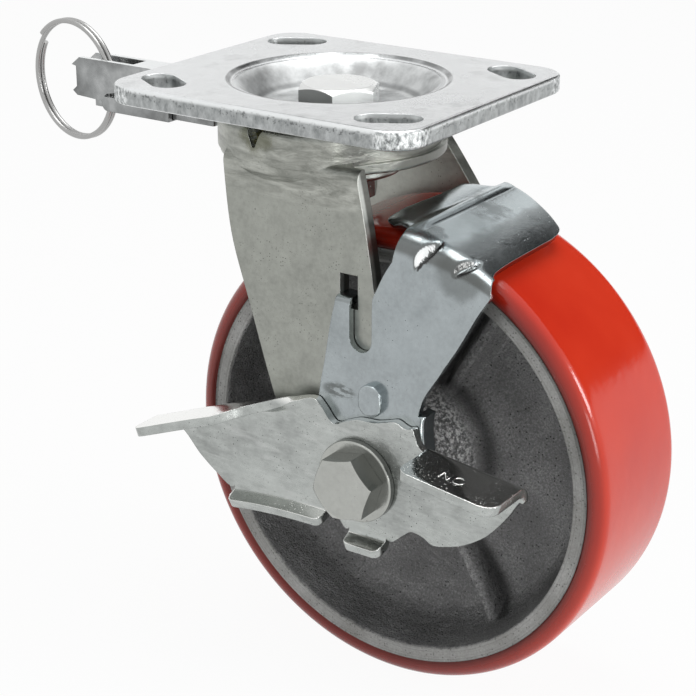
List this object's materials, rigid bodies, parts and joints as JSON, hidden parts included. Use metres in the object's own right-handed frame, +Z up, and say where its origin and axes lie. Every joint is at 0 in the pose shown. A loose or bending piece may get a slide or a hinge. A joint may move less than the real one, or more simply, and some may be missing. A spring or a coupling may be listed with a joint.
{
  "type": "swivel castor",
  "caption": "Swivel plate castor: red tyre on a ribbed cast wheel in a pressed fork, with a rocker brake pedal and saddle at one side and a pull-ring swivel lock at the back.",
  "frame": {"origin": "centre of the top plate's mounting face, on the swivel axis", "axes": "+Z up out of the mounting face, +X the side to which the wheel trails at rest, axle along Y with the brake pedal at -Y"},
  "size_m": [0.2484, 0.1134, 0.1957],
  "materials": {
    "plate_zinc": "bright zinc plated, sheared edges grey and rough",
    "bolt_zinc": "zinc plated, satin",
    "cup_zinc": "zinc plated pressing",
    "ball_steel": "hardened steel, greased",
    "lock_zinc": "zinc plated sheet, satin",
    "ring_steel": "nickel plated wire",
    "fork_zinc": "zinc plated pressing with small pits",
    "saddle_zinc": "zinc plated sheet, bluish",
    "pedal_zinc": "zinc plated sheet, streaked",
    "core_iron": "sand cast, dark grey, machined rim face",
    "tread_red": "cast polyurethane, glossy red",
    "cage_plastic": "moulded black"
  },
  "bodies": {
    "plate_body": {"top_plate": "plate_zinc", "kingpin_bolt": "bolt_zinc", "kingpin_nut": "bolt_zinc", "lower_race_cup": "cup_zinc", "upper_ball_set": "ball_steel", "lower_ball_set": "ball_steel", "lock_housing": "lock_zinc"},
    "fork_body": {"fork": "fork_zinc", "axle_bolt": "bolt_zinc", "axle_nut": "bolt_zinc", "axle_head_washer": "bolt_zinc", "axle_nut_washer": "bolt_zinc", "axle_sleeve": "ball_steel", "thrust_washers": "cup_zinc"},
    "wheel_body": {"wheel_core": "core_iron", "wheel_tread": "tread_red", "bearing_shell": "ball_steel", "bearing_rollers": "ball_steel", "bearing_cage_rings": "cage_plastic"},
    "saddle_body": {"brake_saddle": "saddle_zinc"},
    "pedal_body": {"brake_pedal": "pedal_zinc"},
    "tongue_body": {"lock_tongue": "lock_zinc"},
    "ring_body": {"lock_ring": "ring_steel"}
  },
  "joints": [
    {"name": "swivel", "type": "hinge", "parent": "plate_body", "child": "fork_body", "pos_m": [0, 0, -0.015], "axis": [0, 0, 1], "continuous": true},
    {"name": "wheel_spin", "type": "hinge", "parent": "fork_body", "child": "wheel_body", "pos_m": [0.036, 0, -0.1143], "axis": [0, 1, 0], "continuous": true},
    {"name": "brake_press", "type": "hinge", "parent": "fork_body", "child": "pedal_body", "pos_m": [0.036, -0.0405, -0.1143], "axis": [0, 1, 0], "range_deg": [0, 24]},
    {"name": "saddle_rock", "type": "hinge", "parent": "fork_body", "child": "saddle_body", "pos_m": [0.02805, -0.0375, -0.05695], "axis": [0, 1, 0], "range_deg": [0, 3.8]},
    {"name": "lock_slide", "type": "slide", "parent": "plate_body", "child": "tongue_body", "axis": [1, 0, 0], "range_m": [0, 0.0105]},
    {"name": "ring_swing", "type": "hinge", "parent": "tongue_body", "child": "ring_body", "pos_m": [-0.09504, 0, -0.021], "axis": [0, 0, 1], "range_deg": [-40, 48]}
  ],
  "couplings": [
    {"joint": "saddle_rock", "follows": "brake_press", "ratio": 0.15833}
  ]
}
